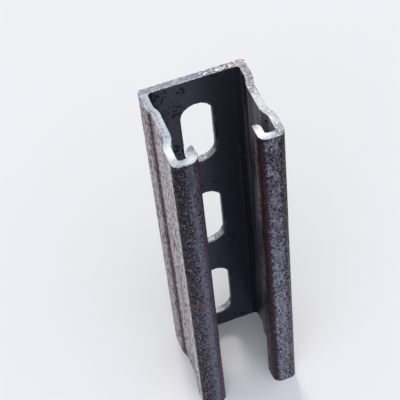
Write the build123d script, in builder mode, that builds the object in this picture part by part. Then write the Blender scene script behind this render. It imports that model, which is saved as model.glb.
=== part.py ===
"""Solar mounting rail: one short cut piece of slotted steel strut channel.

The rail stands on its sawn foot. The slotted back looks towards +Y, the open
mouth between the two lips towards -Y, and +Z runs along the rail.
Lengths are in millimetres.
"""

import os

from build123d import *

# Length of the piece and the strip it is rolled from.
rail_length = 153.0
wall = 3.0

# Section, seen along the rail. The front band stands a little wider than the back.
back_width = 41.0
front_flare = 0.5
depth = 41.0
lip_width = 10.0
return_height = 8.2

# Each side wall has a shallow waist between the back band and the front band.
waist_depth = 1.2
back_band = 9.8
rear_step = 3.9
front_band = 10.4
front_step = 3.8

# Bends, each measured on the side of the wall that its name gives.
back_outer_radius = 1.6
back_inner_radius = 1.6
lip_outer_radius = 3.0
lip_inner_radius = 0.8
return_outer_radius = 3.2
return_inner_radius = 0.8
step_radius = 7.0

# The free edge of the return is rolled over on the side that faces the wall.
tip_outer_radius = 0.6
tip_inner_radius = 1.7

# Slots punched in a row along the back, as many whole ones as the length holds.
slot_width = 12.8
slot_length = 31.2
slot_pitch = 50.0
first_slot_height = 24.7

# Lines of the section worked out from the sizes above.
back_face = depth / 2
lip_face = -depth / 2
back_side = back_width / 2
front_side = back_side + front_flare
waist_side = back_side - waist_depth
mouth_side = front_side - lip_width
return_end = lip_face + return_height
rear_step_start = back_face - back_band
rear_step_end = rear_step_start - rear_step
front_step_end = lip_face + front_band
front_step_start = front_step_end + front_step
slot_row_length = rail_length - first_slot_height - slot_length / 2
slot_count = int(slot_row_length // slot_pitch) + 1


with BuildPart() as slotted_rail:
    with BuildSketch() as section:
        # One half of the bent strip: along its outer face and back along its inner face.
        with BuildLine():
            Polyline(
                (0, back_face),
                (back_side, back_face),
                (back_side, rear_step_start),
                (waist_side, rear_step_end),
                (waist_side, front_step_start),
                (front_side, front_step_end),
                (front_side, lip_face),
                (mouth_side, lip_face),
                (mouth_side, return_end),
                (mouth_side + wall, return_end),
                (mouth_side + wall, lip_face + wall),
                (front_side - wall, lip_face + wall),
                (front_side - wall, front_step_end),
                (waist_side - wall, front_step_start),
                (waist_side - wall, rear_step_end),
                (back_side - wall, rear_step_start),
                (back_side - wall, back_face - wall),
                (0, back_face - wall),
                close=True,
            )
        make_face()

        def round_bend(x, y, radius):
            """Round the corner of the section that lies nearest to a point."""
            corner = section.vertices().sort_by_distance((x, y, 0)).first
            fillet(corner, radius=radius)

        # The bends of the back, the lip and its return, outside and inside.
        round_bend(back_side, back_face, back_outer_radius)
        round_bend(back_side - wall, back_face - wall, back_inner_radius)
        round_bend(front_side, lip_face, lip_outer_radius)
        round_bend(front_side - wall, lip_face + wall, lip_inner_radius)
        round_bend(mouth_side, lip_face, return_outer_radius)
        round_bend(mouth_side + wall, lip_face + wall, return_inner_radius)
        round_bend(mouth_side, return_end, tip_outer_radius)
        round_bend(mouth_side + wall, return_end, tip_inner_radius)

        # The four gentle bends of the waist, on both faces of the wall.
        for face_shift in (0, -wall):
            round_bend(back_side + face_shift, rear_step_start, step_radius)
            round_bend(waist_side + face_shift, rear_step_end, step_radius)
            round_bend(waist_side + face_shift, front_step_start, step_radius)
            round_bend(front_side + face_shift, front_step_end, step_radius)

        mirror(about=Plane.YZ)
    extrude(amount=rail_length)

    # The slots go through the back only, from its outer face inwards.
    with BuildSketch(Plane.XZ.offset(-back_face)):
        for index in range(slot_count):
            with Locations((0, first_slot_height + index * slot_pitch)):
                SlotOverall(slot_length, slot_width, rotation=90)
    extrude(amount=wall, mode=Mode.SUBTRACT)

slotted_rail.part.label = "slotted_rail"

os.makedirs("parts", exist_ok=True)
export_step(slotted_rail.part, "parts/slotted_rail.step")
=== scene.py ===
"""The looks of a solar mounting rail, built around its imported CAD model. Lengths are in metres."""

from functools import cache
from math import cos, hypot, radians, sin

import bmesh
import bpy
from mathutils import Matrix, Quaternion, Vector, noise


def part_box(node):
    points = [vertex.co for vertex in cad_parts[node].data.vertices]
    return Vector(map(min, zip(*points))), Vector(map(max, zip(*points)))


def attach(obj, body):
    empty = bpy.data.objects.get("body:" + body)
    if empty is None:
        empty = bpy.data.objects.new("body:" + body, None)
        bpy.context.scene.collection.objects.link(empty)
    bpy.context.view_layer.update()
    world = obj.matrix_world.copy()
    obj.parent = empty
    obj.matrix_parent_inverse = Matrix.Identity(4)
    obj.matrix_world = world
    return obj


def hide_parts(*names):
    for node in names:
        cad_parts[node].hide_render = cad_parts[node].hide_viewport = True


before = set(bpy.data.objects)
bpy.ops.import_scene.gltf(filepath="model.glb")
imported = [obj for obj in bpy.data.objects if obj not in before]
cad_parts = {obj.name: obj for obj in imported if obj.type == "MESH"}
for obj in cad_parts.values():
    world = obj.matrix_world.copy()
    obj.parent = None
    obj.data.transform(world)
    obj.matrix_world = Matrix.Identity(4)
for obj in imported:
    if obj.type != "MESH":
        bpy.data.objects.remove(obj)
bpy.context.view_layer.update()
mm = 0.001


# The room: a wide pale table in soft, faintly blue daylight. A soft lamp behind the rail
# throws its shadow forwards and lights up the cut end, and a weaker one in front lifts
# the lips. The camera looks down from the front left.
def linear(hex_colour):
    """The linear RGBA value of an sRGB hex colour."""
    channels = [int(hex_colour[i : i + 2], 16) / 255 for i in (1, 3, 5)]
    return [c / 12.92 if c <= 0.04045 else ((c + 0.055) / 1.055) ** 2.4 for c in channels] + [1.0]


def add_node(tree, kind, inputs=None, **settings):
    """Add one shader node with its settings, and set its inputs or link them. An input goes
    by its name or its number: a Map Range has its value at 0, its range at 1 and 2 and its
    results at 3 and 4, and a Mix has its share at 0 and its two colours at 6 and 7."""
    node = tree.nodes.new(kind)
    for name, value in settings.items():
        setattr(node, name, value)
    for name, value in (inputs or {}).items():
        if isinstance(value, bpy.types.Node):
            value = next(socket for socket in value.outputs if socket.enabled)
        if isinstance(value, bpy.types.NodeSocket):
            tree.links.new(value, node.inputs[name])
        else:
            node.inputs[name].default_value = value
    return node


def new_material(name):
    """An empty material and its tree."""
    material = bpy.data.materials.new(name)
    material.use_nodes = True
    material.node_tree.nodes.clear()
    return material, material.node_tree


scene = bpy.context.scene
scene.view_settings.view_transform = "Standard"

camera_place = Vector((-0.0909, -0.3189, 0.4951))
camera_aim = Vector((-0.0004, 0.0262, 0.0765))
camera_roll = radians(-6.8)
camera_data = bpy.data.cameras.new("camera")
camera_data.sensor_width = 36
camera_data.lens = 121.9
camera = bpy.data.objects.new("camera", camera_data)
camera.location = camera_place
camera.rotation_mode = "QUATERNION"
facing = (camera_aim - camera_place).to_track_quat("-Z", "Y")
camera.rotation_quaternion = facing @ Quaternion((0, 0, 1), camera_roll)
scene.collection.objects.link(camera)
scene.camera = camera

# The camera and every reflection see one plain background. The light itself is stronger
# from the front than from behind.
background = linear("#eff0ef")
strength_in_front = 1.25
strength_behind = 0.2
world = bpy.data.worlds.new("studio")
world.use_nodes = True
scene.world = world
tree = world.node_tree
tree.nodes.clear()
light_path = add_node(tree, "ShaderNodeLightPath")
seen = add_node(
    tree,
    "ShaderNodeMath",
    {0: light_path.outputs["Is Camera Ray"], 1: light_path.outputs["Is Glossy Ray"]},
    operation="MAXIMUM",
)
towards = add_node(tree, "ShaderNodeTexCoord").outputs["Generated"]
behind = add_node(tree, "ShaderNodeSeparateXYZ", {0: towards}).outputs["Y"]
strength = add_node(
    tree,
    "ShaderNodeMapRange",
    {0: behind, 1: -1.0, 2: 1.0, 3: strength_in_front, 4: strength_behind},
)
daylight = add_node(
    tree, "ShaderNodeBackground", {"Color": linear("#ecedf6"), "Strength": strength}
)
backdrop = add_node(tree, "ShaderNodeBackground", {"Color": background, "Strength": 1.0})
sky = add_node(tree, "ShaderNodeMixShader", {0: seen, 1: daylight, 2: backdrop})
add_node(tree, "ShaderNodeOutputWorld", {"Surface": sky})


def add_soft_lamp(name, place, size, power, colour):
    """One square soft lamp, in metres and watts, that faces the foot of the rail."""
    lamp_data = bpy.data.lights.new(name, "AREA")
    lamp_data.shape = "SQUARE"
    lamp_data.size = size
    lamp_data.energy = power
    lamp_data.color = linear(colour)[:3]
    lamp = bpy.data.objects.new(name, lamp_data)
    lamp.location = place
    lamp.rotation_mode = "QUATERNION"
    lamp.rotation_quaternion = (-Vector(place)).to_track_quat("-Z", "Y")
    scene.collection.objects.link(lamp)


add_soft_lamp("back_lamp", place=(0.4, 4.0, 4.8), size=1.2, power=115, colour="#fffbf0")
add_soft_lamp("front_lamp", place=(-0.3, -1.0, 1.6), size=1.6, power=11, colour="#eaedff")

table_reach = 6.0
table_mesh = bpy.data.meshes.new("table")
table_shape = bmesh.new()
bmesh.ops.create_grid(table_shape, x_segments=1, y_segments=1, size=table_reach)
table_shape.to_mesh(table_mesh)
table_shape.free()
table = bpy.data.objects.new("table", table_mesh)
scene.collection.objects.link(table)
table_finish, tree = new_material("white_table")
surface = add_node(
    tree, "ShaderNodeBsdfPrincipled", {"Base Color": background, "Roughness": 0.7}
)
add_node(tree, "ShaderNodeOutputMaterial", {"Surface": surface})
table_mesh.materials.append(table_finish)


# The rail: one strip of 3 mm hot-rolled steel, slotted by a punch, folded into a
# channel by rollers and cut off square at both ends. The skin keeps its dark mill scale,
# hazed by pinkish rust and painted pale on the sides as a painted sheen, and the cut ends
# and the slots' walls are bare steel.
wall = 3.0 * mm
slot_width = 12.8 * mm
slot_length = 31.2 * mm
slot_pitch = 50.0 * mm
first_slot = 24.7 * mm
back_side = 20.5 * mm
waist_side = 19.3 * mm
back_band = 9.8 * mm
rear_step = 3.9 * mm
front_band = 10.4 * mm
front_step = 3.8 * mm
mouth_side = 11.0 * mm
return_height = 8.2 * mm
lip_bend = 3.0 * mm
return_bend = 3.2 * mm
rim_width = 0.22 * mm

rail_low, rail_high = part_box("slotted_rail")
shape = bmesh.new()
shape.from_mesh(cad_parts["slotted_rail"].data)
same_point = 0.001 * mm
same_plane = radians(0.5)
bmesh.ops.remove_doubles(shape, verts=shape.verts, dist=same_point)
bmesh.ops.dissolve_limit(
    shape, angle_limit=same_plane, verts=shape.verts[:], edges=shape.edges[:]
)

# The saw and the punch leave every cut rim a little blunt.
sharp_turn = radians(60)
on_rim = shape.faces.layers.int.new("on_rim")
rims = [edge for edge in shape.edges if edge.calc_face_angle() > sharp_turn]
blunted = bmesh.ops.bevel(
    shape, geom=rims, offset=rim_width, segments=2, profile=0.5, affect="EDGES", material=-1
)
for face in blunted["faces"]:
    face[on_rim] = 1


def cut_across(axis, spacing):
    """Cut the mesh by parallel planes, so that it is fine enough to be uneven."""
    on_plane = 0.0001 * mm
    first_share = 0.7
    direction = Vector((0, 0, 0))
    direction[axis] = 1
    place = rail_low[axis] + first_share * spacing
    while place < rail_high[axis]:
        everything = shape.verts[:] + shape.edges[:] + shape.faces[:]
        bmesh.ops.bisect_plane(
            shape,
            geom=everything,
            dist=on_plane,
            plane_co=direction * place,
            plane_no=direction,
        )
        place += spacing


cell = 1.0 * mm
cell_along = 1.5 * mm
cut_across(0, cell)
cut_across(1, cell)
cut_across(2, cell_along)


def around(corner, before, after, radius):
    """Points around a right-angled bend, in place of its sharp corner."""
    start = corner + (before - corner).normalized() * radius
    end = corner + (after - corner).normalized() * radius
    middle = start + end - corner
    turns = [radians(degrees) for degrees in range(0, 91, 15)]
    return [middle + (start - middle) * cos(turn) + (end - middle) * sin(turn) for turn in turns]


# The middle of the strip, from the centre of the back to the tip of one return.
back_line = rail_high.y - wall / 2
lip_line = rail_low.y + wall / 2
back_wall = back_side - wall / 2
waist_wall = waist_side - wall / 2
front_wall = rail_high.x - wall / 2
return_line = mouth_side + wall / 2
front_step_end = Vector((front_wall, rail_low.y + front_band))
lip_corner = Vector((front_wall, lip_line))
return_corner = Vector((return_line, lip_line))
return_tip = Vector((return_line, rail_low.y + return_height))
strip_line = [
    Vector((0, back_line)),
    Vector((back_wall, back_line)),
    Vector((back_wall, rail_high.y - back_band)),
    Vector((waist_wall, rail_high.y - back_band - rear_step)),
    Vector((waist_wall, rail_low.y + front_band + front_step)),
    front_step_end,
    *around(lip_corner, front_step_end, return_corner, lip_bend - wall / 2),
    *around(return_corner, lip_corner, return_tip, return_bend - wall / 2),
    return_tip,
]


@cache
def place_in_section(x, y):
    """How far along the strip a point of the section lies, and how far outside its middle.
    The back runs to 19 mm, the side to 56, the lip to 65 and its return to 70."""
    point = Vector((abs(x), y))
    walked = 0
    best = None
    for start, end in zip(strip_line, strip_line[1:]):
        step = end - start
        share = min(1, max(0, (point - start).dot(step) / step.length_squared))
        offset = point - (start + step * share)
        if best is None or offset.length < best[0]:
            outwards = 1 if step.x * offset.y > step.y * offset.x else -1
            best = (offset.length, walked + share * step.length, outwards)
        walked += step.length
    return best[1], best[0] * best[2]


def strip_place(point):
    """The same for a point of the rail, whose section is the same at every height."""
    return place_in_section(round(point.x, 5), round(point.y, 5))


def in_slot(point):
    """Whether a point is on the wall or the rim of a slot."""
    nearest = first_slot + slot_pitch * round((point.z - first_slot) / slot_pitch)
    past_straight = max(0, abs(point.z - nearest) - (slot_length - slot_width) / 2)
    off_centre = hypot(point.x, past_straight)
    return point.y > rail_high.y - wall - rim_width and off_centre < slot_width / 2 + rim_width


# The finishes read where they are from these: the first two in millimetres, and the last
# one 1 on a cut rim and 0 elsewhere.
station = shape.verts.layers.float.new("strip_station")
depth = shape.verts.layers.float.new("strip_depth")
rim = shape.verts.layers.float.new("cut_rim")
for vertex in shape.verts:
    along, outwards = strip_place(vertex.co)
    vertex[station] = along / mm
    vertex[depth] = outwards / mm
    vertex[rim] = any(face[on_rim] for face in vertex.link_faces)

# The sides start and end inside the outer bends, so that their rust haze and painted sheen end there.
side_start = 19.2 * mm
side_end = 56.2 * mm
cut_depth = 0.8 * rim_width
outer_skin, side_skin, inner_skin, cut_end, slot_wall = range(5)
for face in shape.faces:
    centre = face.calc_center_median()
    end_distance = min(centre.z - rail_low.z, rail_high.z - centre.z)
    if in_slot(centre):
        face.material_index = slot_wall
    elif end_distance < cut_depth:
        face.material_index = cut_end
    else:
        along, outwards = strip_place(centre)
        on_side = side_start < along < side_end
        face.material_index = inner_skin
        if outwards > 0:
            face.material_index = side_skin if on_side else outer_skin
    face.smooth = True

# Rolling leaves the skin faintly wavy and dented, and the cut rims are ragged. It also
# presses the free edge of each return thinner on the side of the wall, the left one more,
# and leaves the left one thicker at its root.
return_end = rail_low.y + return_height
return_reach = wall + 0.5 * mm
thinned_length = 4.3 * mm
thinned_left = 0.5
thinned_right = 0.1
root_middle = rail_low.y + 4.2 * mm
root_reach = 4.1 * mm
root_to_mouth = 0.35 * mm
root_to_wall = 0.9 * mm
wave_size = 8 * mm
wave_height = 0.05 * mm
wave_stretch = 0.4
dent_size = 2.2 * mm
dent_depth = 0.08 * mm
dent_start = 0.25
tear_size = 0.9 * mm
tear_height = 0.16 * mm
shape.normal_update()
for vertex in shape.verts:
    stretched = Vector((vertex.co.x, vertex.co.y, wave_stretch * vertex.co.z))
    wave = wave_height * noise.noise(stretched / wave_size)
    dent = -dent_depth * max(0, noise.noise(vertex.co / dent_size) - dent_start)
    tear = tear_height * vertex[rim] * noise.noise(vertex.co / tear_size)
    vertex.co += vertex.normal * (wave + dent + tear)
    vertex.co.z = max(rail_low.z, vertex.co.z)
    out_of_mouth = abs(vertex.co.x) - mouth_side
    tip_share = (vertex.co.y - return_end) / thinned_length + 1
    if tip_share > 0 and 0 < out_of_mouth < return_reach and vertex.co.y < 0:
        moved = out_of_mouth * min(1, tip_share) ** 2
        vertex.co.x += thinned_left * moved if vertex.co.x < 0 else -thinned_right * moved
    root_share = max(0, 1 - abs(vertex.co.y - root_middle) / root_reach)
    if root_share > 0 and vertex.co.x < 0 and out_of_mouth < 2 * wall:
        from_wall = abs(out_of_mouth - wall) / wall
        swollen = root_share * root_share * (3 - 2 * root_share)
        vertex.co.x -= swollen * root_to_wall * (1 - from_wall)
        if out_of_mouth < wall:
            vertex.co.x += swollen * root_to_mouth * from_wall
soft_turn = radians(25)
for edge in shape.edges:
    if edge.calc_face_angle() > soft_turn:
        edge.smooth = False

rail_mesh = bpy.data.meshes.new("rail")
shape.to_mesh(rail_mesh)
shape.free()
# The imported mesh's own normals don't fit the new faces.
rail_mesh.attributes.remove(rail_mesh.attributes["custom_normal"])
rail = bpy.data.objects.new("rail", rail_mesh)
scene.collection.objects.link(rail)


# The finishes: each one is a base colour with coats laid over it, and each coat has a
# share, from 0 to 1, that says where it shows. The shares come from ragged noise, from the
# place along the strip, and from the height.
def spots(tree, place, size, share, blur=0.03, more=0.0):
    """Ragged spots of about this size that cover about this share of the surface,
    and more of it where the last value is above 0."""
    noise_spread = 0.33
    field = add_node(
        tree,
        "ShaderNodeTexNoise",
        {"Vector": place, "Scale": 1 / size, "Detail": 2, "Roughness": 0.55},
    )
    field = add_node(tree, "ShaderNodeMath", {0: field, 1: more}, operation="ADD")
    edge = 0.5 + noise_spread * (0.5 - share)
    return add_node(
        tree,
        "ShaderNodeMapRange",
        {0: field, 1: edge - blur, 2: edge + blur},
        interpolation_type="SMOOTHSTEP",
    )


def band(tree, value, start, end, blur):
    """1 where the value is between start and end, with soft borders."""
    rise = add_node(
        tree,
        "ShaderNodeMapRange",
        {0: value, 1: start - blur, 2: start + blur},
        interpolation_type="SMOOTHSTEP",
    )
    fall = add_node(
        tree,
        "ShaderNodeMapRange",
        {0: value, 1: end + blur, 2: end - blur},
        interpolation_type="SMOOTHSTEP",
    )
    return add_node(tree, "ShaderNodeMath", {0: rise, 1: fall}, operation="MULTIPLY")


def near(tree, place, centre, reach, turn=0.0):
    """1 at a centre and 0 from its reach along each axis on, both in millimetres. The turn
    is about X."""
    local = add_node(
        tree,
        "ShaderNodeMapping",
        {
            "Vector": place,
            "Location": Vector(centre) * mm,
            "Rotation": (turn, 0, 0),
            "Scale": Vector(reach) * mm,
        },
        vector_type="TEXTURE",
    )
    away = add_node(tree, "ShaderNodeVectorMath", {0: local}, operation="LENGTH")
    return add_node(
        tree, "ShaderNodeMapRange", {0: away, 1: 1.0, 2: 0.0}, interpolation_type="SMOOTHSTEP"
    )


def all_of(tree, *shares):
    """The product of several shares: 1 only where all of them are. A plain number among
    them weakens the whole."""
    product = shares[0]
    for share in shares[1:]:
        product = add_node(tree, "ShaderNodeMath", {0: product, 1: share}, operation="MULTIPLY")
    return product


def lay_over(tree, colour, coats):
    """Lay coats of colour over each other, each where its share says."""
    for share, coat in coats:
        colour = add_node(
            tree, "ShaderNodeMix", {0: share, 6: colour, 7: linear(coat)}, data_type="RGBA"
        )
    return colour


def fray(tree, place, station):
    """The place along the strip, moved to and fro by up to 1 mm for ragged borders."""
    wander_size = 1.8 * mm
    wander_reach = 1.0
    wander = add_node(
        tree, "ShaderNodeTexNoise", {"Vector": place, "Scale": 1 / wander_size, "Detail": 3}
    )
    wandered = add_node(
        tree,
        "ShaderNodeMath",
        {0: wander, 1: 2 * wander_reach, 2: station},
        operation="MULTIPLY_ADD",
    )
    return add_node(tree, "ShaderNodeMath", {0: wandered, 1: wander_reach}, operation="SUBTRACT")


def outer_mill_scale():
    """Mill scale on hot-rolled steel: a hard blue-black oxide skin full of small pits,
    polished to a lighter blue-grey on the lips."""
    material, tree = new_material("outer_mill_scale")
    place = add_node(tree, "ShaderNodeTexCoord").outputs["Object"]
    rolled = add_node(tree, "ShaderNodeMapping", {"Vector": place, "Scale": (1, 0.45, 0.75)})
    drawn = add_node(tree, "ShaderNodeMapping", {"Vector": place, "Scale": (1, 0.5, 0.3)})
    pulled = add_node(tree, "ShaderNodeMapping", {"Vector": place, "Scale": (1, 0.5, 0.1)})
    axes = add_node(tree, "ShaderNodeSeparateXYZ", {0: place})
    across, height = axes.outputs["X"], axes.outputs["Z"]
    right = add_node(tree, "ShaderNodeMapRange", {0: across, 1: -1 * mm, 2: 1 * mm})
    left = add_node(tree, "ShaderNodeMapRange", {0: across, 1: 1 * mm, 2: -1 * mm})
    low = add_node(tree, "ShaderNodeMapRange", {0: height, 1: 125 * mm, 2: 60 * mm})
    high = add_node(tree, "ShaderNodeMapRange", {0: height, 1: 60 * mm, 2: 145 * mm})
    station = add_node(tree, "ShaderNodeAttribute", attribute_name="strip_station").outputs["Fac"]
    rim = add_node(tree, "ShaderNodeAttribute", attribute_name="cut_rim").outputs["Fac"]
    frayed = fray(tree, rolled, station)

    grain = spots(tree, rolled, 0.8 * mm, 0.5)
    fibre = spots(tree, drawn, 0.8 * mm, 0.38)
    patch = spots(tree, rolled, 2.6 * mm, 0.5, blur=0.06)
    cloud = spots(tree, rolled, 6 * mm, 0.5, blur=0.1)
    streak = spots(tree, drawn, 3.0 * mm, 0.5, blur=0.06)
    thread = spots(tree, pulled, 0.5 * mm, 0.5, blur=0.08)

    back = band(tree, station, -1.0, 19.8, blur=0.6)
    colour = lay_over(
        tree,
        linear("#0c0b10"),
        [
            # The hidden back: streaky, with patches of the same pinkish haze as the sides.
            (all_of(tree, back, grain, 0.8), "#2f2e36"),
            (all_of(tree, back, streak, 0.7), "#45454f"),
            (all_of(tree, back, cloud, grain, 0.7), "#6e656b"),
        ],
    )

    # The left lip: dark where it bends in from the side, then ever more light specks, then
    # a smoother bluish stripe, and brown near the cut where it turns into the mouth. All of
    # it grows lighter towards the foot.
    lip = band(tree, station, 56.9, 64.6, blur=0.4)
    inwards = add_node(tree, "ShaderNodeMapRange", {0: station, 1: 57.0, 2: 62.0})
    density = add_node(
        tree, "ShaderNodeMath", {0: all_of(tree, inwards, 0.13), 1: all_of(tree, low, 0.04)}
    )
    specks = spots(tree, rolled, 0.85 * mm, 0.12, blur=0.03, more=density)
    stripe = band(tree, frayed, 60.7, 62.3, blur=0.4)
    turned = band(tree, station, 62.7, 66.0, blur=0.2)
    near_cut = add_node(tree, "ShaderNodeMapRange", {0: height, 1: 132 * mm, 2: 143 * mm})
    colour = lay_over(
        tree,
        colour,
        [
            (all_of(tree, lip, left, low, 0.6), "#302c36"),
            (all_of(tree, lip, left, inwards, 0.6), "#42424e"),
            (all_of(tree, lip, left, specks, 0.8), "#5f5c69"),
            (all_of(tree, stripe, left, 0.8), "#484a57"),
            (all_of(tree, stripe, left, low, 0.7), "#5b6173"),
            (all_of(tree, stripe, left, thread, 0.6), "#656672"),
            (all_of(tree, stripe, left, fibre, 0.6), "#30303a"),
            (all_of(tree, stripe, left, near_cut, 0.8), "#313b43"),
            (all_of(tree, turned, left, 0.7), "#332c37"),
            (all_of(tree, turned, left, near_cut, patch, 0.7), "#441820"),
            (all_of(tree, turned, left, near_cut, grain, 0.5), "#401c23"),
            (all_of(tree, turned, left, low, thread, 0.7), "#45303c"),
        ],
    )

    # The right lip: rubbed light along its middle, and brown where it bends either way. The
    # faces of both returns that look into the mouth are hazed towards the top.
    rubbed = band(tree, frayed, 58.7, 63.0, blur=0.4)
    bend_out = band(tree, station, 56.8, 59.0, blur=0.4)
    bend_in = band(tree, frayed, 63.0, 65.2, blur=0.4)
    inward = band(tree, station, 65.2, 70.5, blur=0.5)
    worn_line = band(tree, frayed, 66.6, 67.6, blur=0.4)
    colour = lay_over(
        tree,
        colour,
        [
            (all_of(tree, bend_out, right, 0.8), "#2a2226"),
            (all_of(tree, bend_out, right, specks, 0.9), "#66646c"),
            (all_of(tree, bend_out, right, low, grain, 0.8), "#62626c"),
            (all_of(tree, rubbed, right, 0.9), "#5a5b69"),
            (all_of(tree, rubbed, right, grain, 0.8), "#7d7f8d"),
            (all_of(tree, rubbed, right, high, patch, 0.6), "#2a2930"),
            (all_of(tree, rubbed, right, high, fibre, 0.8), "#1f1e25"),
            (all_of(tree, rubbed, right, thread, 0.35), "#4a4a56"),
            (all_of(tree, rubbed, right, low, grain, 0.3), "#8a8c9a"),
            (all_of(tree, bend_in, right), "#251418"),
            (all_of(tree, bend_in, right, patch, 0.6), "#30171b"),
            (all_of(tree, inward, high, 0.9), "#3a3235"),
            (all_of(tree, inward, high, fibre, 0.8), "#75696c"),
            (all_of(tree, worn_line, right, grain, 0.7), "#857a80"),
        ],
    )

    # Pits, in clusters and densest near the cut, three fine cracks across the lips and a
    # brown stain on the left one.
    flat = band(tree, station, 56.6, 63.4, blur=0.7)
    clusters = add_node(
        tree, "ShaderNodeMath", {0: all_of(tree, patch, 0.05), 1: all_of(tree, high, 0.03)}
    )
    pits = spots(tree, rolled, 0.75 * mm, 0.16, blur=0.02, more=clusters)
    unpitted = add_node(
        tree, "ShaderNodeMapRange", {0: all_of(tree, stripe, left), 3: 1.0, 4: 0.5}
    )
    pits = all_of(tree, pits, unpitted)
    colour = lay_over(tree, colour, [(all_of(tree, pits, flat, 0.85), "#0b0a0e")])
    wobble_size = 4 * mm
    wobble_height = 3 * mm
    wobble = add_node(
        tree, "ShaderNodeTexNoise", {"Vector": place, "Scale": 1 / wobble_size, "Detail": 3}
    )
    wobbly = add_node(
        tree, "ShaderNodeMath", {0: wobble, 1: wobble_height, 2: height}, operation="MULTIPLY_ADD"
    )
    crack_half = 0.15 * mm
    crack_blur = 0.2 * mm
    for crack_height, which in ((71.5 * mm, left), (31.0 * mm, left), (69.0 * mm, right)):
        crack_low = crack_height - crack_half
        crack_high = crack_height + crack_half
        crack = band(tree, wobbly, crack_low, crack_high, blur=crack_blur)
        colour = lay_over(tree, colour, [(all_of(tree, crack, flat, which, 0.85), "#0b0a0d")])
    stain = near(tree, place, (-16.5, -20.5, 71), (4, 4, 4))
    colour = lay_over(tree, colour, [(all_of(tree, stain, grain, 0.8), "#54402f")])

    # The saw has smeared a little bare metal over the edge of the cut.
    smear = all_of(tree, spots(tree, rolled, 0.9 * mm, 0.4, blur=0.05), rim)
    colour = lay_over(tree, colour, [(smear, "#a2a3aa")])

    # The pits are three times as deep as the grain is high, and rougher inside.
    relief = add_node(tree, "ShaderNodeMath", {0: pits, 1: -3.0, 2: grain}, operation="MULTIPLY_ADD")
    bump = add_node(tree, "ShaderNodeBump", {"Height": relief, "Distance": 0.04 * mm})
    roughness = add_node(tree, "ShaderNodeMapRange", {0: pits, 3: 0.42, 4: 0.9})
    surface = add_node(
        tree,
        "ShaderNodeBsdfPrincipled",
        {
            "Base Color": colour,
            "Metallic": smear,
            "Roughness": roughness,
            "IOR": 1.27,
            "Specular Tint": linear("#efe8fb"),
            "Normal": bump,
        },
    )
    add_node(tree, "ShaderNodeOutputMaterial", {"Surface": surface})
    return material


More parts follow.
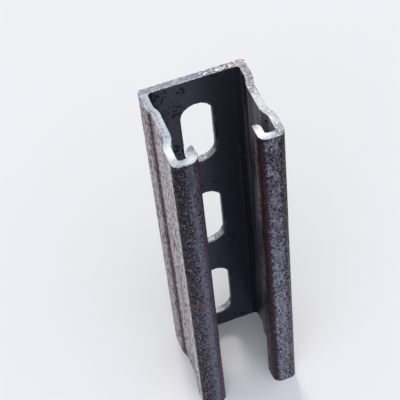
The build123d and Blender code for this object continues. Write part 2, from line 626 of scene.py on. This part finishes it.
def sheen_painted_mill_scale():
    """The same scale on the sides, with a pinkish rust tint and its sheen painted in as a pale
    colour, fine dark fibres drawn along the rail, and painted shade with brown rust in the rear
    bend of the waist. It is palest at a slant."""
    material, tree = new_material("sheen_painted_mill_scale")
    place = add_node(tree, "ShaderNodeTexCoord").outputs["Object"]
    rolled = add_node(tree, "ShaderNodeMapping", {"Vector": place, "Scale": (1, 0.45, 0.75)})
    drawn = add_node(tree, "ShaderNodeMapping", {"Vector": place, "Scale": (1, 0.5, 0.4)})
    height = add_node(tree, "ShaderNodeSeparateXYZ", {0: place}).outputs["Z"]
    high = add_node(tree, "ShaderNodeMapRange", {0: height, 1: 60 * mm, 2: 145 * mm})
    station = add_node(tree, "ShaderNodeAttribute", attribute_name="strip_station").outputs["Fac"]
    rim = add_node(tree, "ShaderNodeAttribute", attribute_name="cut_rim").outputs["Fac"]
    frayed = fray(tree, rolled, station)
    grain = spots(tree, rolled, 0.8 * mm, 0.5)
    fine = spots(tree, place, 0.7 * mm, 0.5)
    fibre = spots(tree, drawn, 0.8 * mm, 0.38)
    patch = spots(tree, rolled, 2.6 * mm, 0.5, blur=0.06)
    speckled = add_node(tree, "ShaderNodeMapRange", {0: fine, 3: 0.4, 4: 0.95})
    broken = add_node(tree, "ShaderNodeMapRange", {0: fine, 3: 0.3, 4: 0.8})

    # The rear bend of the waist, darkened by painted shade and brown rust, and the darker line
    # in it, the waist's floor, and the front band with its paler edge beside the lip.
    groove_shade_and_rust = band(tree, frayed, 27.6, 30.9, blur=0.9)
    groove_core_shade_and_rust = band(tree, frayed, 29.1, 29.7, blur=0.35)
    middle = band(tree, station, 31.6, 40.5, blur=0.8)
    front = band(tree, station, 48.6, 56.35, blur=0.3)
    front_edge = band(tree, station, 52.8, 56.35, blur=0.3)
    # The pale coats paint the sides' sheen in over their pinkish rust.
    colour = lay_over(
        tree,
        linear("#72656b"),
        [
            (all_of(tree, middle, 0.75), "#b5a8ae"),
            (all_of(tree, middle, high, 0.7), "#cfc2c8"),
            (all_of(tree, front, 0.6), "#beb3ba"),
            (all_of(tree, front_edge, 0.75), "#cec5cc"),
            (all_of(tree, patch, 0.3), "#b2a6ac"),
            (all_of(tree, grain, broken), "#d0c4ca"),
            (all_of(tree, fine, 0.3), "#7c7075"),
            (all_of(tree, fibre, speckled), "#33272c"),
            (all_of(tree, groove_shade_and_rust, 0.9), "#260f16"),
            (all_of(tree, groove_shade_and_rust, grain, 0.6), "#573b43"),
            (all_of(tree, groove_core_shade_and_rust, 0.95), "#100204"),
        ],
    )
    # A scuff and two drawn lines on the left side, and a little orange rust near the cut:
    # each one's centre, reach, turn in degrees, strength and colour.
    marks = (
        ((-19.3, 0.4, 88.2), (3, 5.5, 1.2), 37, 0.9, "#1c0d12"),
        ((-19.3, -0.3, 58.0), (3, 24.0, 0.8), 90, 0.7, "#2a1c22"),
        ((-19.6, -6.3, 24.0), (3, 9.0, 0.8), 90, 0.7, "#2a1c22"),
        ((-20.2, 5.4, 147.0), (3, 7.0, 2.0), 90, 0.7, "#96694f"),
    )
    dirty = all_of(tree, fibre, 0.6)
    scored = dirty
    for centre, reach, turn, strength, tint in marks:
        mark = near(tree, place, centre, reach, turn=radians(turn))
        mark = add_node(tree, "ShaderNodeMapRange", {0: mark, 2: 0.5, 4: strength})
        colour = lay_over(tree, colour, [(mark, tint)])
        scored = add_node(
            tree, "ShaderNodeMath", {0: mark, 1: 2.0, 2: scored}, operation="MULTIPLY_ADD"
        )
        dirty = add_node(tree, "ShaderNodeMath", {0: dirty, 1: mark}, operation="MAXIMUM")

    # Bare metal smeared over the edge of the cut, and pits. What is dirty is rough, and
    # what is scored lies deeper.
    smear = all_of(tree, spots(tree, rolled, 0.9 * mm, 0.4, blur=0.05), rim)
    colour = lay_over(tree, colour, [(smear, "#a2a3aa")])
    pits = spots(tree, rolled, 0.75 * mm, 0.16, blur=0.02, more=all_of(tree, patch, 0.05))
    for share in (pits, groove_core_shade_and_rust):
        scored = add_node(tree, "ShaderNodeMath", {0: scored, 1: share}, operation="MAXIMUM")
        dirty = add_node(tree, "ShaderNodeMath", {0: dirty, 1: share}, operation="MAXIMUM")
    relief = add_node(tree, "ShaderNodeMath", {0: scored, 1: -3.0, 2: grain}, operation="MULTIPLY_ADD")
    bump = add_node(tree, "ShaderNodeBump", {"Height": relief, "Distance": 0.05 * mm})
    roughness = add_node(tree, "ShaderNodeMapRange", {0: dirty, 3: 0.32, 4: 1.0})
    surface = add_node(
        tree,
        "ShaderNodeBsdfPrincipled",
        {
            "Base Color": colour,
            "Metallic": smear,
            "Roughness": roughness,
            "IOR": 1.5,
            "Specular Tint": linear("#f2e8f2"),
            "Normal": bump,
        },
    )
    add_node(tree, "ShaderNodeOutputMaterial", {"Surface": surface})
    return material


def inner_mill_scale():
    """The same scale inside the channel, where nothing has rubbed it: nearly black, smooth
    enough to mirror the table, with clusters of small pits and a brownish upper corner."""
    material, tree = new_material("inner_mill_scale")
    place = add_node(tree, "ShaderNodeTexCoord").outputs["Object"]
    drawn = add_node(tree, "ShaderNodeMapping", {"Vector": place, "Scale": (1, 1, 0.05)})
    height = add_node(tree, "ShaderNodeSeparateXYZ", {0: place}).outputs["Z"]
    low = add_node(tree, "ShaderNodeMapRange", {0: height, 1: 110 * mm, 2: 50 * mm})
    rim = add_node(tree, "ShaderNodeAttribute", attribute_name="cut_rim").outputs["Fac"]
    station = add_node(tree, "ShaderNodeAttribute", attribute_name="strip_station").outputs["Fac"]
    streak = spots(tree, drawn, 2.0 * mm, 0.5, blur=0.12)
    cloud = spots(tree, place, 9 * mm, 0.5, blur=0.12)
    fine = spots(tree, place, 0.8 * mm, 0.5, blur=0.1)
    side = band(tree, station, 21, 56, blur=1.5)
    # The inner bend between the back and each side is darkened nearly to black as painted shade in the
    # corner, and made rough.
    back_bend = band(tree, station, 15.6, 22.4, blur=0.5)
    # Pits in clusters, four of them near the top of the back at the left: each one's centre
    # and radius.
    clusters = spots(tree, place, 6 * mm, 0.1, blur=0.05)
    pitted = (
        ((-13.5, 17.5, 148.5), 8),
        ((-8.9, 17.5, 139.5), 9),
        ((-9.7, 17.5, 119.6), 7),
        ((-4.9, 17.5, 149.2), 4),
    )
    for centre, radius in pitted:
        mark = near(tree, place, centre, (radius, radius, radius))
        clusters = add_node(tree, "ShaderNodeMath", {0: clusters, 1: mark}, operation="MAXIMUM")
    more_pits = all_of(tree, clusters, 0.12)
    pits = spots(tree, place, 1.2 * mm, 0.1, blur=0.015, more=more_pits)
    pits = all_of(tree, pits, clusters)
    brown = near(tree, place, (-16.5, 17.5, 149), (9, 9, 9))
    colour = lay_over(
        tree,
        linear("#15131a"),
        [
            (all_of(tree, cloud, 0.6), "#1f1c22"),
            (all_of(tree, fine, 0.5), "#2a272c"),
            (all_of(tree, low, 0.7), "#171b2c"),
            (all_of(tree, side, streak, 0.9), "#6a626a"),
            (all_of(tree, brown, streak, 0.7), "#2a1a1d"),
            (all_of(tree, back_bend, 0.9), "#060607"),
            (pits, "#040405"),
        ],
    )
    edge = add_node(tree, "ShaderNodeMapRange", {0: rim, 1: 0.5, 2: 1.0})
    smear = all_of(tree, spots(tree, place, 0.9 * mm, 0.4, blur=0.05), edge)
    colour = lay_over(tree, colour, [(smear, "#8b8b92")])
    relief = add_node(tree, "ShaderNodeMath", {0: fine, 1: pits}, operation="SUBTRACT")
    bump = add_node(tree, "ShaderNodeBump", {"Height": relief, "Distance": 0.02 * mm})
    dull = add_node(tree, "ShaderNodeMath", {0: pits, 1: back_bend}, operation="MAXIMUM")
    roughness = add_node(tree, "ShaderNodeMapRange", {0: dull, 3: 0.32, 4: 0.95})
    surface = add_node(
        tree,
        "ShaderNodeBsdfPrincipled",
        {
            "Base Color": colour,
            "Metallic": smear,
            "Roughness": roughness,
            "IOR": 1.6,
            "Specular Tint": linear("#cddaff"),
            "Normal": bump,
        },
    )
    add_node(tree, "ShaderNodeOutputMaterial", {"Surface": surface})
    return material


def sawn_steel():
    """Bare steel as the saw left it: smeared smooth and bluish on the left, where the blade
    came out, and torn into glittering grain elsewhere, with a faint pink heat tint."""
    material, tree = new_material("sawn_steel")
    place = add_node(tree, "ShaderNodeTexCoord").outputs["Object"]
    strokes = add_node(
        tree,
        "ShaderNodeMapping",
        {"Vector": place, "Rotation": (0, 0, radians(25)), "Scale": (0.35, 1.3, 1)},
    )
    across = add_node(tree, "ShaderNodeSeparateXYZ", {0: place}).outputs["X"]
    station = add_node(tree, "ShaderNodeAttribute", attribute_name="strip_station").outputs["Fac"]
    depth = add_node(tree, "ShaderNodeAttribute", attribute_name="strip_depth").outputs["Fac"]
    rim = add_node(tree, "ShaderNodeAttribute", attribute_name="cut_rim").outputs["Fac"]
    smooth = add_node(
        tree,
        "ShaderNodeMapRange",
        {0: across, 1: -9 * mm, 2: -16 * mm},
        interpolation_type="SMOOTHSTEP",
    )
    torn = add_node(
        tree,
        "ShaderNodeMapRange",
        {0: across, 1: -2 * mm, 2: 9 * mm},
        interpolation_type="SMOOTHSTEP",
    )
    mottle = spots(tree, place, 1.3 * mm, 0.5, blur=0.06)
    clouds = spots(tree, place, 4.0 * mm, 0.5, blur=0.1)
    brushed = spots(tree, strokes, 1.4 * mm, 0.5, blur=0.05)
    dark_grain = spots(tree, place, 1.1 * mm, 0.3)
    glitter = spots(tree, place, 1.0 * mm, 0.22, blur=0.02)
    flecks = spots(tree, place, 0.6 * mm, 0.4, blur=0.05)
    inner = add_node(tree, "ShaderNodeMapRange", {0: depth, 1: 0.4, 2: -0.5})
    outer = add_node(tree, "ShaderNodeMapRange", {0: depth, 1: 0.9, 2: 1.3})
    side = band(tree, station, 21, 54, blur=1.5)
    back = band(tree, station, -1, 20, blur=1.0)
    top = rail_high.z / mm
    coats = [
        (all_of(tree, mottle, 0.7), "#a2a3ac"),
        (all_of(tree, clouds, mottle, 0.6), "#babbc3"),
        (all_of(tree, smooth, 0.8), "#7c838f"),
        (all_of(tree, smooth, brushed, 0.5), "#959eaa"),
        (all_of(tree, smooth, side, inner, 0.65), "#b3bfca"),
        (all_of(tree, torn, dark_grain, 0.7), "#68656b"),
        (all_of(tree, torn, side, outer, dark_grain, 0.8), "#3d3a40"),
    ]
    # Tints where the blade pressed and where it ran hot: each one's centre, reach,
    # strength and colour.
    tints = (
        # The back: dull on the left, bluish in the middle, burnt and then pink on the right.
        ((-18, 19, top), 6, 0.6, "#7b828f"),
        ((-13, 19, top), 6, 0.7, "#6a6b75"),
        ((1, 19, top), 7, 0.7, "#687186"),
        ((13.5, 17.6, top), 3, 0.8, "#40333a"),
        ((16.5, 19, top), 4, 0.6, "#bf9da2"),
        # The sides: dull beside the back, and the right one bright towards its lip.
        ((-20.5, 11, top), 7, 0.7, "#6e707a"),
        ((18, 12, top), 5, 0.4, "#7d7980"),
        ((18, -3, top), 9, 0.6, "#dedee4"),
        ((18.5, -12, top), 6, 0.6, "#d6d8df"),
        # The right lip: bluish green on the outside and bright within.
        ((15.5, -19.4, top), 3, 0.6, "#a0c4c8"),
        ((12.5, -17, top), 6, 0.8, "#e8e8ee"),
        # The left side's waist, its front band and its lip, and the dull tip of its return.
        ((-18, -4.5, top), 5, 0.6, "#848b96"),
        ((-19.5, -13, top), 7, 0.8, "#d0d5db"),
        ((-13.5, -18.5, top), 4, 0.7, "#ccd3da"),
        ((-12.3, -13, top), 3, 0.8, "#7d7d85"),
    )
    for centre, reach, strength, tint in tints:
        share = near(tree, place, centre, (reach, reach, reach))
        coats.append((all_of(tree, share, strength), tint))
    coats.append((all_of(tree, smooth, brushed, 0.2), "#d3dce3"))
    coats.append((all_of(tree, torn, back, dark_grain, 0.6), "#3a373d"))
    coats.append((all_of(tree, torn, glitter, 0.5), "#f0edf0"))
    coats.append((all_of(tree, torn, back, glitter, 0.7), "#ffffff"))
    coats.append((all_of(tree, rim, flecks, 0.7), "#d3d3d8"))
    colour = lay_over(tree, linear("#83848e"), coats)
    height = add_node(tree, "ShaderNodeMath", {0: mottle, 1: dark_grain}, operation="SUBTRACT")
    bump = add_node(
        tree, "ShaderNodeBump", {"Height": all_of(tree, height, torn), "Distance": 0.04 * mm}
    )
    surface = add_node(
        tree,
        "ShaderNodeBsdfPrincipled",
        {"Base Color": colour, "Metallic": 1.0, "Roughness": 0.6, "Normal": bump},
    )
    add_node(tree, "ShaderNodeOutputMaterial", {"Surface": surface})
    return material


def punched_steel():
    """The torn grey wall that a punch leaves: rough, and darker than a sawn end. The upright
    wall on the right carries painted shade, nearly black over the inner half of its depth, and
    painted light, lilac grey, over its outer half; the rims outside that shade keep bright flecks."""
    material, tree = new_material("punched_steel")
    place = add_node(tree, "ShaderNodeTexCoord").outputs["Object"]
    axes = add_node(tree, "ShaderNodeSeparateXYZ", {0: place})
    across, through = axes.outputs["X"], axes.outputs["Y"]
    far = add_node(tree, "ShaderNodeMapRange", {0: through, 1: 18.8 * mm, 2: 19.3 * mm})
    painted_shade = add_node(tree, "ShaderNodeMapRange", {0: across, 1: 5.4 * mm, 2: 6.1 * mm})
    lit = add_node(tree, "ShaderNodeMapRange", {0: across, 1: 5.8 * mm, 2: 4.8 * mm})
    mottle = spots(tree, place, 1.2 * mm, 0.5, blur=0.1)
    flecks = spots(tree, place, 0.8 * mm, 0.4, blur=0.05)
    rim = add_node(tree, "ShaderNodeAttribute", attribute_name="cut_rim").outputs["Fac"]
    colour = lay_over(
        tree,
        linear("#82828b"),
        [
            (mottle, "#b2b2bb"),
            # Painted shade on the upright wall on the right, and painted light on its outer half.
            (all_of(tree, painted_shade, 0.95), "#111119"),
            (all_of(tree, painted_shade, far, 0.8), "#7f7d8e"),
            (all_of(tree, rim, lit, flecks, 0.7), "#a9a9b0"),
        ],
    )
    bump = add_node(tree, "ShaderNodeBump", {"Height": mottle, "Distance": 0.05 * mm})
    surface = add_node(
        tree,
        "ShaderNodeBsdfPrincipled",
        {"Base Color": colour, "Metallic": 1.0, "Roughness": 0.6, "Normal": bump},
    )
    add_node(tree, "ShaderNodeOutputMaterial", {"Surface": surface})
    return material


# In the order of the faces' material numbers.
for finish in (outer_mill_scale, sheen_painted_mill_scale, inner_mill_scale, sawn_steel, punched_steel):
    rail_mesh.materials.append(finish())

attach(rail, "root")
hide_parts("slotted_rail")
